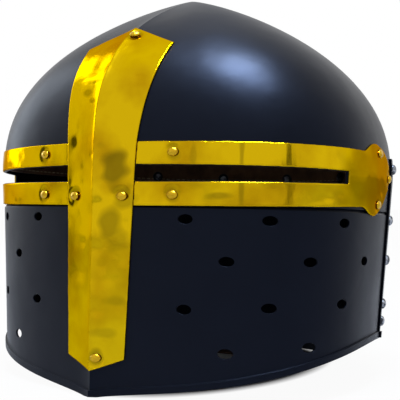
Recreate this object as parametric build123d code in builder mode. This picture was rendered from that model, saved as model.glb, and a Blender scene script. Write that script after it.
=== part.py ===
from build123d import *
from math import asin, atan2, cos, degrees, hypot, radians, sin, sqrt
import os

# Knight helmet: a pointed great helm of painted steel with brass strips round the sights.
# Millimetres, +Z up, the face looks along -Y. The origin is the bottom centre of the bounding box.

# ---------------------------------------------------------------- shell form
helmet_height = 270.0
brow_level = 138.0  # the widest level, at the eye slits
front_reach = 106.4  # crown axis to the front ridge at the brow
side_reach = 140.8
back_reach = 158.0
front_taper = 0.008  # how much each reach shrinks per millimetre below the brow
side_taper = 0.057
back_taper = 0.105
front_fullness = 3.38  # higher keeps the wall upright for longer above the brow
side_fullness = 2.63
back_fullness = 2.08
front_closing = 0.976  # near 1 closes to a cone, lower values round the crown
side_closing = 0.831
back_closing = 0.832
ridge_half_angle = 63.0  # degrees between the ridge's centre plane and each front wall
ridge_flatness = 30.2  # how far the front walls run straight from the ridge
cheek_roundness = 92.4  # how early the walls turn towards the sides
widest_point = -4.4  # the widest point, before the crown axis
stand_lean = 2.65  # degrees the crown axis leans back when the helmet stands on its rim

# ---------------------------------------------------------------- plates
plate_thickness = 1.5
lap_gap = 0.12  # paint between lapped plates
skull_edge_level = 121.3  # lower edge of the dome, hidden by the lower brass strips
front_lap_depth = 12.6  # how far the face plate runs up inside the dome
joggle_height = 2.2  # the step that lets the face plate pass behind the dome
neck_plate_level = 158.0  # upper edge of the neck plate, outside the dome
skull_back_lap = 19.0  # how far the dome reaches down inside the neck plate
seam_y = 49.0  # front edge of the neck plate, behind the crown axis
side_lap = 15.0  # how far the face plate runs back inside the neck plate

# ---------------------------------------------------------------- rim
rim_front_y = -105.0  # where the rim leaves the ground at the front
rim_peak_y = 36.0
rim_rise = 36.0
rim_back_y = 140.0  # where the rim levels out again at the nape
rim_back_level = 10.9  # the nape, above the chin point
rim_peak_share = 0.7  # of the rear slope's length: how long the rim stays high
rim_back_share = 0.2  # and how soon it levels out
rim_settle = 0.15  # worn flat at the two places the rim stands on
hem_height = 4.2
hem_thickness = 1.3

# ---------------------------------------------------------------- eye slits
slit_inner_x = 25.5  # starts under the upright bar
slit_outer_y = -29.5
slit_bottom_level = 135.2
slit_height_inner = 10.4
slit_height_outer = 7.2
slit_rise = 1.8  # how much the slit's lower edge climbs towards the temple

# ---------------------------------------------------------------- brass
brass_gap = 0.06
arm_thickness = 1.0
arm_top_level = 160.2
arm_bottom_level = 119.8
arm_edge_drop = 1.6  # how much the strips narrow towards the temples
arm_slit_margin = 0.3
neck_y = -13.0  # where the arm starts to flare
lobe_y = 6.0
lobe_radius = 12.0
upper_lobe_level = 164.5
lower_lobe_level = 117.8
terminal_point_y = 46.5
terminal_point_level = 144.0
neck_handle = 5.0
lobe_handle = 9.0
point_handle = 13.0
point_upper_rise = 14.0
point_lower_drop = 12.0
bar_thickness = 1.4
bar_gap = 0.3  # between the bar's edges and the arms
bar_foot_level = 24.5
bar_foot_half_width = 22.2
bar_foot_point_drop = 8.4
bar_waist_level = 150.0
bar_waist_half_width = 26.9
bar_head_level = 226.0
bar_head_half_width = 34.2
bar_head_point_rise = 13.0
bar_spread = 0.8  # the edges bow out above the brow
bar_lower_handle = 22.0
bar_upper_spread = 2.0
bar_upper_handle = 36.0

# ---------------------------------------------------------------- breath holes
hole_half_width = 4.8
hole_half_height = 3.0
hole_first_run = 61.0  # along the wall from the ridge
hole_pitch = 52.0
hole_rows = [112.4, 86.8, 57.4, 29.4]  # levels of the rows
hole_row_counts = [3, 3, 3, 2]
hole_row_climb = [0.0, 0.016, 0.047, 0.088]  # each row climbs with the rim

# ---------------------------------------------------------------- fasteners
brass_shank_radius = 1.5
brass_head_half_width = 3.5
brass_head_half_height = 2.7
brass_head_rise = 1.5
steel_shank_radius = 1.7
steel_head_radius = 3.6
steel_head_rise = 2.4
hole_clearance = 0.15
tail_radius = 2.5
tail_height = 1.1
head_seat = 0.03
ridge_seat = 0.45  # heads bridge the hollow beside the ridge
tail_seat = 0.16
band_rivet_run = 52.5
band_rivet_upper_inset = 6.8  # from the strips' outer edges
band_rivet_lower_inset = 7.2
crossing_rivet_run = 19.2
crossing_rivet_level = 125.8
bar_rivet_run = 4.0
bar_rivet_foot_level = 24.6
bar_rivet_head_level = 232.0
lobe_rivet_setback = 8.0  # behind the lobes' tops
lobe_rivet_upper_inset = 5.9
lobe_rivet_lower_inset = 7.4
point_rivet_inset = 7.1
point_rivet_drop = 0.7  # its tail stays under the liner's band
seam_rivet_inset = 8.0  # from the neck plate's front edge
seam_rivet_levels = [151.0, 116.0, 88.7, 58.5, 46.5]
back_rivet_count = 5
back_rivet_level = 151.0

# ---------------------------------------------------------------- leather liner
leather_thickness = 2.0
liner_gap = 0.15
liner_bottom_level = 146.5
liner_band_height = 26.0
liner_crown_level = 232.0
liner_fullness = 1.35
liner_closing = 0.92
tongue_gap = 8.0
tongue_lap = 8.0  # sewn inside the band's upper edge
tongue_offset = 0.3  # from the band
bowl_depth_in = 16.0  # how far the bowl lies inside the widest wall
lace_ring_radius = 27.0
lace_radius = 1.6
lace_clearance = 0.3
hem_wall = 1.5
knot_radius = 3.3
lace_end_length = 15.0
tongue_count = 8
washer_radius = 4.2
washer_thickness = 0.8
washer_gap = 0.24
washer_bore = 1.9
liner_centre_y = 18.0  # the lace ring's centre behind the crown axis
lace_end_radius = 1.2
lace_end_splay = 24.0
liner_sections = 10
band_sections = 5
round_share = 0.8  # the tongues lie on a round bowl from this share of their rise

# ---------------------------------------------------------------- chin strap
strap_width = 18.0
strap_thickness = 2.2
strap_floor = 15.0  # the strap's lowest stretch above the ground, at its middle
strap_bottom_half = 62.0
strap_leg_drop = 22.0
strap_bend_radius = 18.0
strap_hole_radius = 2.4
spacer_thickness = 2.0
spacer_radius = 5.0
strap_play = 0.9
buckle_wire_radius = 1.5
buckle_half_length = 13.0
buckle_half_width = 12.2
buckle_corner_radius = 3.5
buckle_round = 1.42  # all but round in section
buckle_clearance = 0.1
layer_gap = 0.2
prong_half_width = 1.2
prong_thickness = 1.6
prong_eye_wall = 1.2
prong_overhang = 2.4
prong_slot_half = 2.4
prong_slot_length = 6.0
rise_start_x = 4.5  # where the free strap climbs through the buckle
rise_radius = 4.0
pin_hole_length = 8.4
pin_hole_x = -1.0
punch_radius = 1.6
punch_pitch = 12.0
punch_xs = [24.0, 36.0, 48.0, -24.0]
keeper_x = -42.0
keeper_length = 8.0
keeper_wall = 1.6
keeper_gap = 0.35
strap_tail_x = -51.0
fold_end_x = -33.0
fold_dip_x = -17.5
fold_rivet_x = -28.0
fold_rivet_spread = 5.0
fold_rivet_head = 2.4
fold_rivet_height = 0.9

# ---------------------------------------------------------------- derived
lap_inner = -plate_thickness - lap_gap
neck_inner = lap_gap
neck_outer = neck_inner + plate_thickness
arm_outer = brass_gap + arm_thickness
bar_outer = brass_gap + bar_thickness
liner_outer = -plate_thickness - liner_gap
liner_inner = liner_outer - leather_thickness
liner_band_top = liner_bottom_level + liner_band_height
tongue_outer = liner_inner - tongue_offset
bowl_radius = side_reach - bowl_depth_in
face_top_level = skull_edge_level + front_lap_depth
far = 4 * helmet_height
below = -12.0  # a level under the whole rim
drill_length = 40.0
seam_rivet_y = seam_y + seam_rivet_inset
skull_back_edge = neck_plate_level - skull_back_lap
washered_tail = liner_inner - washer_gap - washer_thickness
buckle_level = strap_floor + strap_thickness / 2 + buckle_clearance + buckle_wire_radius
walk_steps = 60
crown_share = 1.07  # the crown rises by this share of an outward shift
dome_sections = 12
dome_turn = 84.0  # the last section lies this many degrees round towards the crown
circle_handle = 4 / 3 * (sqrt(2) - 1)


# ---------------------------------------------------------------- the skin
def reach_at(reach, taper, fullness, closing, level, top):
    """Distance from the crown axis to the wall: tapered below the brow, closing to a point above it."""
    lean = taper * (level - brow_level)
    if level <= brow_level:
        return reach + lean
    rise = min(1.0, (level - brow_level) / (top - brow_level))
    return (reach + lean * (1 - rise) ** 2) * (1 - rise**fullness) ** closing


def lean_y(y, level):
    """Standing Y of a point given behind the crown axis and above the chin point."""
    return y * cos(radians(stand_lean)) + level * sin(radians(stand_lean))


nape_wall = [
    reach_at(back_reach, back_taper, back_fullness, back_closing, level, helmet_height)
    for level in (back_rivet_level - 1, back_rivet_level, back_rivet_level + 1)
]
nape_tilt = atan2(nape_wall[0] - nape_wall[2], 2)
nape_head = neck_outer + head_seat + steel_head_rise
rear_most = lean_y(nape_wall[1] + nape_head * cos(nape_tilt), back_rivet_level + nape_head * sin(nape_tilt))
ridge_sin = sin(radians(ridge_half_angle))
ridge_cos = cos(radians(ridge_half_angle))
hem_front = reach_at(
    front_reach + hem_thickness / ridge_sin, front_taper, front_fullness, front_closing, 0, helmet_height
)
foot_front = reach_at(front_reach, front_taper, front_fullness, front_closing, bar_rivet_foot_level, helmet_height)
foot_front += (bar_outer + ridge_seat) * ridge_sin - bar_rivet_run * ridge_cos
foot_front += hypot(brass_head_half_width * ridge_cos, brass_head_rise * ridge_sin)
front_most = min(lean_y(-hem_front, 0), lean_y(-foot_front, bar_rivet_foot_level))
stand_drop = -rim_front_y * sin(radians(stand_lean)) + rim_settle
helm = Plane(
    (0, -(rear_most + front_most) / 2, -stand_drop),
    x_dir=(1, 0, 0),
    z_dir=(0, sin(radians(stand_lean)), cos(radians(stand_lean))),
)
side_view = Plane(helm.origin, x_dir=helm.y_dir, z_dir=helm.x_dir)
front_view = Plane(helm.origin, x_dir=helm.x_dir, z_dir=-helm.y_dir)


def skin_points(level, grow):
    """Control points of the right half of a section, from the ridge to the back, moved outward by grow."""
    top = helmet_height + crown_share * grow
    mitre = grow / sin(radians(ridge_half_angle))
    front = reach_at(front_reach + mitre, front_taper, front_fullness, front_closing, level, top)
    side = reach_at(side_reach + grow, side_taper, side_fullness, side_closing, level, top)
    back = reach_at(back_reach + grow, back_taper, back_fullness, back_closing, level, top)
    scale_here = side / side_reach
    widest = widest_point * scale_here
    handle = ridge_flatness * scale_here
    return [
        (0, -front),
        (handle * sin(radians(ridge_half_angle)), -front + handle * cos(radians(ridge_half_angle))),
        (side, widest - cheek_roundness * scale_here),
        (side, widest),
        (side, widest + circle_handle * (back - widest)),
        (circle_handle * side, back),
        (0, back),
    ]


def section(points, level):
    """Flat section from the control points of its right half."""
    left = [(-x, y) for x, y in points]
    with BuildSketch(helm.offset(level)) as flat:
        with BuildLine():
            Bezier(*points[:4])
            Bezier(*points[3:])
            Bezier(*reversed(left[3:]))
            Bezier(*reversed(left[:4]))
        make_face()
    return flat.sketch


def skin_solid(grow):
    """Closed body under the whole skin, moved outward by grow: straight walls, then the dome."""
    top = helmet_height + crown_share * grow
    turns = [dome_turn * i / dome_sections for i in range(dome_sections + 1)]
    levels = [brow_level + (top - brow_level) * sin(radians(turn)) for turn in turns]
    dome = [section(skin_points(level, grow), level) for level in levels]
    with BuildPart() as body:
        loft([section(skin_points(below, grow), below), dome[0]], ruled=True)
        loft([*dome, Vertex(*helm.from_local_coords((0, 0, top)))])
    return body.part


def curve_walk(points, count=walk_steps):
    """Points along the two curves of a half section."""
    walked = []
    for quarter in (points[:4], points[3:]):
        for i in range(count + 1):
            t = i / count
            weights = ((1 - t) ** 3, 3 * t * (1 - t) ** 2, 3 * t * t * (1 - t), t**3)
            walked.append(tuple(sum(w * p[k] for w, p in zip(weights, quarter)) for k in (0, 1)))
    return walked


def wall_point(run, level, grow=0.0):
    """Point of the wall at a distance run along the section from the ridge."""
    walked = curve_walk(skin_points(level, grow))
    left = run
    for a, b in zip(walked, walked[1:]):
        piece = hypot(b[0] - a[0], b[1] - a[1])
        if left <= piece and piece > 0:
            share = left / piece
            return helm.from_local_coords(
                Vector(a[0] + share * (b[0] - a[0]), a[1] + share * (b[1] - a[1]), level)
            )
        left -= piece
    return helm.from_local_coords(Vector(*walked[-1], level))


def run_to(y, level):
    """Run along the wall at which it reaches the distance y behind the crown axis."""
    walked = curve_walk(skin_points(level, 0))
    run = 0.0
    for a, b in zip(walked, walked[1:]):
        piece = hypot(b[0] - a[0], b[1] - a[1])
        if b[1] >= y:
            return run + piece * (y - a[1]) / (b[1] - a[1])
        run += piece
    return run


def wall_plane(run, level, side=1, grow=0.0):
    """Plane on the wall: local X along the wall, local Z straight out of it."""
    here = wall_point(run, level, grow)
    along = wall_point(run + 1, level, grow) - wall_point(run - 1, level, grow)
    up = wall_point(run, level + 1, grow) - wall_point(run, level - 1, grow)
    out = along.cross(up).normalized()
    if side < 0:
        here, along, out = (Vector(-v.X, v.Y, v.Z) for v in (here, along, out))
    return Plane(here, x_dir=along, z_dir=out)


def both_sides(run, level):
    """The two mirrored places at a distance along the wall."""
    return [wall_plane(run, level), wall_plane(run, level, side=-1)]


def both_sides_at(y, level):
    """The two mirrored places at a distance behind the crown axis."""
    return both_sides(run_to(y, level), level)


# ---------------------------------------------------------------- cutting shapes
def side_prism(outline_points):
    """Prism along X over a closed outline in the Y-Z plane, measured from the crown axis."""
    with BuildPart() as prism:
        with BuildSketch(side_view):
            with BuildLine():
                Polyline(*outline_points, close=True)
            make_face()
        extrude(amount=far, both=True)
    return prism.part


def below_rim(lift):
    """Everything under the rim, raised by lift: an arch over each shoulder between face and nape."""
    front_span = rim_peak_y - rim_front_y
    back_span = rim_back_y - rim_peak_y
    front_mid = rim_rise * (1 - 0.5**2)
    with BuildPart() as lower:
        with BuildSketch(side_view):
            with BuildLine():
                Line((-far, below * 2), (-far, lift))
                Line((-far, lift), (rim_front_y, lift))
                ThreePointArc(
                    (rim_front_y, lift),
                    (rim_peak_y - front_span / 2, lift + front_mid),
                    (rim_peak_y, lift + rim_rise),
                )
                Bezier(
                    (rim_peak_y, lift + rim_rise),
                    (rim_peak_y + back_span * rim_peak_share, lift + rim_rise),
                    (rim_back_y - back_span * rim_back_share, lift + rim_back_level),
                    (rim_back_y, lift + rim_back_level),
                )
                Line((rim_back_y, lift + rim_back_level), (far, lift + rim_back_level))
                Line((far, lift + rim_back_level), (far, below * 2))
                Line((far, below * 2), (-far, below * 2))
            make_face()
        extrude(amount=far, both=True)
    return lower.part


def slit_outline(margin):
    """Eye slit seen from the side, widened by margin."""
    inner_y = -front_reach
    outer_y = slit_outer_y + margin
    return [
        (inner_y, slit_bottom_level - margin),
        (outer_y, slit_bottom_level + slit_rise - margin),
        (outer_y, slit_bottom_level + slit_rise + slit_height_outer + margin),
        (inner_y, slit_bottom_level + slit_height_inner + margin),
    ]


skin = {
    grow: skin_solid(grow)
    for grow in (
        -plate_thickness,
        0.0,
        neck_inner,
        neck_outer,
        brass_gap,
        arm_outer,
        bar_outer,
    )
}
under_ground = Pos(0, 0, -far / 2) * Box(far, far, far)
under_rim = below_rim(0) + under_ground
under_hem = below_rim(hem_height)
behind_seam = side_prism([(seam_y, below * 2), (far, below * 2), (far, far), (seam_y, far)])
behind_lap = side_prism([(seam_y + side_lap, below * 2), (far, below * 2), (far, far), (seam_y + side_lap, far)])
slit_cut = side_prism(slit_outline(0)) - Box(2 * slit_inner_x, far * 3, far * 3)
below_back_edge = side_prism(
    [(seam_y + side_lap, 0), (far, 0), (far, skull_back_edge), (seam_y + side_lap, skull_back_edge)]
)


def bar_outline(margin):
    """Upright bar seen from the front, widened by margin."""
    half = [
        (0, bar_foot_level - bar_foot_point_drop - margin),
        (bar_foot_half_width + margin, bar_foot_level - margin),
        (bar_waist_half_width + margin, bar_waist_level),
        (bar_head_half_width + margin, bar_head_level + margin),
        (0, bar_head_level + bar_head_point_rise + margin),
    ]
    with BuildPart() as prism:
        with BuildSketch(front_view):
            with BuildLine():
                Line(half[0], half[1])
                Line(half[1], half[2])
                Bezier(
                    half[2],
                    (half[2][0] + bar_spread, half[2][1] + bar_lower_handle),
                    (half[3][0] - bar_upper_spread, half[3][1] - bar_upper_handle),
                    half[3],
                )
                Line(half[3], half[4])
                mirror(about=Plane.YZ)
            make_face()
        extrude(amount=far)
    return prism.part


# ---------------------------------------------------------------- rivet places
band_upper = both_sides(band_rivet_run, arm_top_level - band_rivet_upper_inset)
band_lower = both_sides(band_rivet_run, arm_bottom_level + band_rivet_lower_inset)
crossing = both_sides(crossing_rivet_run, crossing_rivet_level)
bar_foot = [wall_plane(bar_rivet_run, bar_rivet_foot_level)]
bar_head = [wall_plane(bar_rivet_run, bar_rivet_head_level)]
lobe_upper = both_sides_at(lobe_y + lobe_rivet_setback, upper_lobe_level - lobe_rivet_upper_inset)
lobe_lower = both_sides_at(lobe_y + lobe_rivet_setback, lower_lobe_level + lobe_rivet_lower_inset)
arm_point = both_sides_at(terminal_point_y - point_rivet_inset, terminal_point_level - point_rivet_drop)
seam_top = both_sides_at(seam_rivet_y, seam_rivet_levels[0])
seam_low = [p for level in seam_rivet_levels[1:] for p in both_sides_at(seam_rivet_y, level)]
seam_run = run_to(seam_rivet_y, back_rivet_level)
nape_run = run_to(far, back_rivet_level)
back_pitch = 2 * (nape_run - seam_run) / (back_rivet_count + 1)
back_lap = [wall_plane(seam_run + back_pitch * (i + 1), back_rivet_level, side)
            for i in range(back_rivet_count // 2) for side in (1, -1)]
back_lap.append(wall_plane(nape_run, back_rivet_level))


# the chin strap's ends hang on the lower lobe rivets, between a spacer and a washer
spacer_top = lap_inner - plate_thickness - tail_seat
strap_middle = spacer_top - spacer_thickness - strap_play - strap_thickness / 2
strap_washer_top = strap_middle - strap_thickness / 2 - strap_play
strap_tail_level = strap_washer_top - washer_thickness
pivot = lobe_lower[0].offset(strap_middle).origin


def drill(places, radius):
    """Holes through everything at the rivet places."""
    with Locations(*[place.location for place in places]):
        Cylinder(radius + hole_clearance, drill_length, mode=Mode.SUBTRACT)


def oval_rivet(head_level, tail_level, seat=head_seat):
    """Brass rivet: oval domed head outside, peened tail inside, measured out from the wall."""
    head_foot = head_level + seat
    tail_foot = tail_level - tail_seat - (seat - head_seat)
    dome = scale(Sphere(1), by=(brass_head_half_width, brass_head_half_height, brass_head_rise))
    with BuildPart() as rivet:
        add(Pos(0, 0, head_foot) * dome)
        split(bisect_by=Plane.XY.offset(head_foot), keep=Keep.TOP)
        with BuildSketch(Plane.XY.offset(head_foot)):
            Circle(brass_shank_radius)
        extrude(amount=tail_foot - head_foot)
        with BuildSketch(Plane.XY.offset(tail_foot)):
            Circle(tail_radius)
        extrude(amount=-tail_height)
    return rivet.part


def steel_rivet(head_level, tail_level):
    """Steel rivet with a round head outside and a peened tail inside."""
    head_foot = head_level + head_seat
    tail_foot = tail_level - tail_seat
    with BuildPart() as rivet:
        with BuildSketch(Plane.XZ) as half:
            with BuildLine():
                Line((0, head_foot + steel_head_rise), (0, tail_foot - tail_height))
                Polyline(
                    (0, tail_foot - tail_height),
                    (tail_radius, tail_foot - tail_height),
                    (tail_radius, tail_foot),
                    (steel_shank_radius, tail_foot),
                    (steel_shank_radius, head_foot),
                    (steel_head_radius, head_foot),
                )
                Bezier(
                    (steel_head_radius, head_foot),
                    (steel_head_radius, head_foot + steel_head_rise * 0.6),
                    (steel_head_radius * 0.5, head_foot + steel_head_rise),
                    (0, head_foot + steel_head_rise),
                )
            make_face()
        revolve(axis=Axis.Z)
    return rivet.part


def set_rivets(rivet, places):
    """One rivet at each place, in the part being built."""
    with Locations(*[place.location for place in places]):
        add(rivet)


os.makedirs("parts", exist_ok=True)


def keep(part, name):
    """Label a finished piece and write it."""
    part.label = name
    export_step(part, f"parts/{name}.step")


# ---------------------------------------------------------------- skull: dome and brow in one piece
with BuildPart() as skull:
    add(skin[0.0])
    add(skin[-plate_thickness], mode=Mode.SUBTRACT)
    split(bisect_by=helm.offset(skull_edge_level), keep=Keep.TOP)
    add(below_back_edge, mode=Mode.SUBTRACT)
    add(slit_cut, mode=Mode.SUBTRACT)
    drill(band_upper + band_lower + crossing + bar_head + lobe_upper + lobe_lower + arm_point, brass_shank_radius)
    drill(seam_top + back_lap, steel_shank_radius)
keep(skull.part, "skull")


# ---------------------------------------------------------------- face plate: lower front with the breath holes
def straight_skin(stations):
    """Closed body with flat-sided walls between (level, grow) stations."""
    with BuildPart() as ring:
        loft([section(skin_points(level, grow), level) for level, grow in stations], ruled=True)
    return ring.part


def face_skin(grow):
    """Body under the face plate, stepped inward near its top to pass behind the dome."""
    step_top = skull_edge_level - lap_gap
    step_bottom = step_top - joggle_height
    shifts = [(below, 0), (step_bottom, 0), (step_top, lap_inner), (face_top_level, lap_inner)]
    return straight_skin([(level, grow + shift) for level, shift in shifts])


def rim_hem(inner, outer):
    """Turned edge along the rim, between two shifts of the skin."""
    band = straight_skin([(below, outer), (brow_level, outer)]) - straight_skin([(below, inner), (brow_level, inner)])
    return (band - under_rim) & under_hem


hole_places = [
    (wall_plane(run, level + climb * (run - hole_first_run), side))
    for row, (level, count, climb) in enumerate(zip(hole_rows, hole_row_counts, hole_row_climb))
    for run in [hole_first_run + hole_pitch * (i + row % 2 / 2) for i in range(count)]
    for side in (1, -1)
]
with BuildPart() as breath_hole:
    with BuildSketch(Plane.XY.offset(-drill_length / 2)):
        Ellipse(hole_half_width, hole_half_height)
    extrude(amount=drill_length)
face_hem = rim_hem(-plate_thickness / 2, hem_thickness) - behind_seam

with BuildPart() as face_plate:
    add(face_skin(0.0))
    add(face_skin(-plate_thickness), mode=Mode.SUBTRACT)
    add(under_rim, mode=Mode.SUBTRACT)
    add(behind_lap, mode=Mode.SUBTRACT)
    add(face_hem)
    with Locations(*[place.location for place in hole_places]):
        add(breath_hole.part, mode=Mode.SUBTRACT)
    drill(band_lower + crossing + bar_foot + lobe_lower, brass_shank_radius)
    drill(seam_low, steel_shank_radius)
keep(face_plate.part, "face_plate")

# ---------------------------------------------------------------- neck plate: lower back, lapped outside
neck_hem = rim_hem(neck_inner + plate_thickness / 2, neck_outer + hem_thickness) & behind_seam

with BuildPart() as neck_plate:
    add(skin[neck_outer])
    add(skin[neck_inner], mode=Mode.SUBTRACT)
    split(bisect_by=helm.offset(neck_plate_level), keep=Keep.BOTTOM)
    add(behind_seam, mode=Mode.INTERSECT)
    add(under_rim, mode=Mode.SUBTRACT)
    add(neck_hem)
    drill(seam_low + seam_top + back_lap, steel_shank_radius)
keep(neck_plate.part, "neck_plate")

# ---------------------------------------------------------------- brass: upright bar and the two forked arms
with BuildPart() as nasal_bar:
    add(skin[bar_outer])
    add(skin[brass_gap], mode=Mode.SUBTRACT)
    add(bar_outline(0), mode=Mode.INTERSECT)
    drill(crossing + bar_foot + bar_head, brass_shank_radius)
keep(nasal_bar.part, "nasal_bar")


def arm_outline():
    """Forked arm seen from the side: straight strips that flare into two lobes and a point."""
    with BuildPart() as prism:
        with BuildSketch(side_view):
            with BuildLine():
                inner_y = -front_reach
                Line((inner_y, arm_bottom_level), (inner_y, arm_top_level))
                Line((inner_y, arm_top_level), (neck_y, arm_top_level - arm_edge_drop))
                Bezier(
                    (neck_y, arm_top_level - arm_edge_drop),
                    (neck_y + neck_handle, arm_top_level - arm_edge_drop),
                    (lobe_y - lobe_handle, upper_lobe_level),
                    (lobe_y, upper_lobe_level),
                )
                Bezier(
                    (lobe_y, upper_lobe_level),
                    (lobe_y + lobe_radius, upper_lobe_level),
                    (terminal_point_y - point_handle, terminal_point_level + point_upper_rise),
                    (terminal_point_y, terminal_point_level),
                )
                Bezier(
                    (terminal_point_y, terminal_point_level),
                    (terminal_point_y - point_handle, terminal_point_level - point_lower_drop),
                    (lobe_y + lobe_radius, lower_lobe_level),
                    (lobe_y, lower_lobe_level),
                )
                Bezier(
                    (lobe_y, lower_lobe_level),
                    (lobe_y - lobe_handle, lower_lobe_level),
                    (neck_y + neck_handle, arm_bottom_level + 2 * arm_edge_drop),
                    (neck_y, arm_bottom_level + 2 * arm_edge_drop),
                )
                Line((neck_y, arm_bottom_level + 2 * arm_edge_drop), (inner_y, arm_bottom_level))
            make_face()
        extrude(amount=far, both=True)
    return prism.part


arm_blank = (skin[arm_outer] - skin[brass_gap]) & arm_outline()
arm_slit = side_prism(slit_outline(arm_slit_margin))
bar_keep_out = bar_outline(bar_gap)
for side, name in ((1, "cross_arm_right"), (-1, "cross_arm_left")):
    half_space = Pos(side * far / 2, 0, 0) * Box(far, far, far)
    with BuildPart() as arm:
        add(arm_blank)
        add(half_space, mode=Mode.INTERSECT)
        add(arm_slit, mode=Mode.SUBTRACT)
        add(bar_keep_out, mode=Mode.SUBTRACT)
        drill(band_upper + band_lower + lobe_upper + lobe_lower + arm_point, brass_shank_radius)
    keep(arm.part, name)

# ---------------------------------------------------------------- rivets through the steel and the brass
lap_tail = lap_inner - plate_thickness
rivet_groups = {
    "band_rivets": [
        (oval_rivet(arm_outer, washered_tail), band_upper),
        (oval_rivet(arm_outer, lap_tail), band_lower),
    ],
    "crossing_rivets": [(oval_rivet(bar_outer, lap_tail, ridge_seat), crossing)],
    "bar_end_rivets": [(oval_rivet(bar_outer, -plate_thickness, ridge_seat), bar_foot + bar_head)],
    "terminal_rivets": [
        (oval_rivet(arm_outer, washered_tail), lobe_upper),
        (oval_rivet(arm_outer, -plate_thickness), arm_point),
    ],
    "strap_rivets": [(oval_rivet(arm_outer, strap_tail_level), lobe_lower)],
}
for name, stacked in rivet_groups.items():
    with BuildPart() as rivets:
        for rivet, places in stacked:
            set_rivets(rivet, places)
    keep(rivets.part, name)

seam_rivet = steel_rivet(neck_outer, -plate_thickness)
lap_rivet = steel_rivet(neck_outer, washered_tail)
with BuildPart() as seam_rivets:
    set_rivets(seam_rivet, seam_low)
keep(seam_rivets.part, "seam_rivets")
with BuildPart() as lap_rivets:
    set_rivets(lap_rivet, seam_top + back_lap)
keep(lap_rivets.part, "lap_rivets")


def washer(top, thickness, radius):
    """Flat ring round a rivet, its outer face at top."""
    with BuildPart() as ring:
        with BuildSketch(Plane.XY.offset(top)):
            Circle(radius)
            Circle(washer_bore, mode=Mode.SUBTRACT)
        extrude(amount=-thickness)
    return ring.part


liner_washer = washer(liner_inner - washer_gap, washer_thickness, washer_radius)
with BuildPart() as liner_washers:
    set_rivets(liner_washer, band_upper + lobe_upper + seam_top + back_lap)
keep(liner_washers.part, "liner_washers")


# ---------------------------------------------------------------- liner: a leather band and the tongues sewn inside it
liner_rivets = band_upper + lobe_upper + seam_top + back_lap
band_levels = [liner_bottom_level + liner_band_height * i / band_sections for i in range(band_sections + 1)]
bore_levels = [band_levels[0] - leather_thickness, *band_levels, band_levels[-1] + leather_thickness]
band_bodies = [straight_skin([(level, liner_outer) for level in band_levels]),
               straight_skin([(level, liner_inner) for level in bore_levels])]
with BuildPart() as liner_band:
    add(band_bodies[0])
    add(band_bodies[1], mode=Mode.SUBTRACT)
    drill(liner_rivets, steel_shank_radius)
keep(liner_band.part, "liner_band")


def bowl_section(rise, grow):
    """Half section of the bowl the tongues lie on, from the wall at the band to a ring over the head."""
    closing = (1 - rise**liner_fullness) ** liner_closing
    share = min(1.0, rise / round_share)
    blend = share * share * (3 - 2 * share)
    wall = curve_walk(skin_points(liner_band_top, grow))
    radius = bowl_radius + grow - tongue_outer
    bowl = []
    for x, y in wall:
        length = hypot(x, y - liner_centre_y)
        round_x = radius * x / length
        round_y = radius * (y - liner_centre_y) / length
        bowl.append((closing * ((1 - blend) * x + blend * round_x),
                     closing * ((1 - blend) * (y - liner_centre_y) + blend * round_y) + liner_centre_y))
    return bowl


def bowl_point(angle, walked):
    """Point of a walked half section in a direction from the lace's centre, 0 forward, growing to the right."""
    turn = abs(angle)
    mirror_sign = 1 if angle > 0 else -1
    for a, b in zip(walked, walked[1:]):
        angle_a = degrees(atan2(a[0], liner_centre_y - a[1]))
        angle_b = degrees(atan2(b[0], liner_centre_y - b[1]))
        if angle_a <= turn <= angle_b and angle_b > angle_a:
            share = (turn - angle_a) / (angle_b - angle_a)
            return mirror_sign * (a[0] + share * (b[0] - a[0])), a[1] + share * (b[1] - a[1])
    return mirror_sign * walked[-1][0], walked[-1][1]


def tongue_section(middle, level, outer_walk, inner_walk):
    """One tongue cut through at a level: a curved strip of the bowl between two parallel gaps."""
    around = []
    for walked in (outer_walk, inner_walk):
        x, y = bowl_point(middle, walked)
        half = 180 / tongue_count - degrees(asin(tongue_gap / 2 / hypot(x, y - liner_centre_y)))
        around.append([bowl_point(middle + share * half, walked) for share in (-1, -0.5, 0, 0.5, 1)])
    outer, inner = around
    with BuildSketch(helm.offset(level)) as cut:
        with BuildLine():
            Spline(*outer)
            Line(outer[-1], inner[-1])
            Spline(*reversed(inner))
            Line(inner[0], outer[0])
        make_face()
    return cut.sketch


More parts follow.
